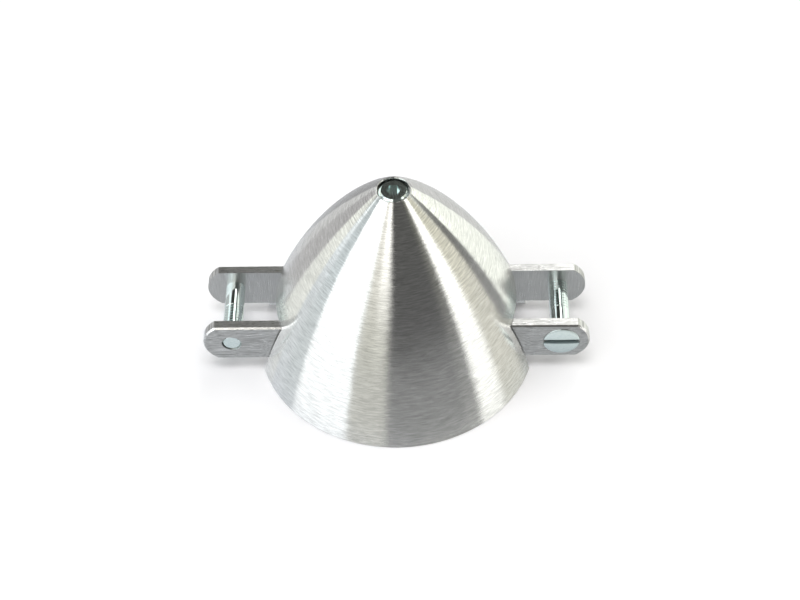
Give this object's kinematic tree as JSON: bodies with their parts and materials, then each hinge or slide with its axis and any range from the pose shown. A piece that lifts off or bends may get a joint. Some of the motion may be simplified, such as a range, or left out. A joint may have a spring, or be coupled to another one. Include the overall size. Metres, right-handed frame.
{
  "type": "propeller spinner",
  "caption": "Turned ogive spinner cap over a milled two-arm yoke with forked ends, blade pins and a taper collet for a motor shaft.",
  "frame": {"origin": "on the shaft axis, in the plane of the cap's rear rim", "axes": "+Z forward along the shaft axis to the nose; +X through the right-hand blade pin; the blade pins lie along Y"},
  "size_m": [0.0492, 0.036, 0.0279],
  "materials": {
    "turned_aluminium": "fine turned, satin",
    "milled_aluminium": "milled, lightly brushed along the arms",
    "zinc_plated_steel": "bright zinc plated, pale blue",
    "brass": "turned"
  },
  "bodies": {
    "root": {"spinner_cap": "turned_aluminium", "yoke": "milled_aluminium", "right_blade_pin": "zinc_plated_steel", "left_blade_pin": "zinc_plated_steel", "shaft_collet": "brass", "collet_washer": "zinc_plated_steel", "collet_nut": "zinc_plated_steel", "nose_screw": "zinc_plated_steel"}
  },
  "joints": []
}
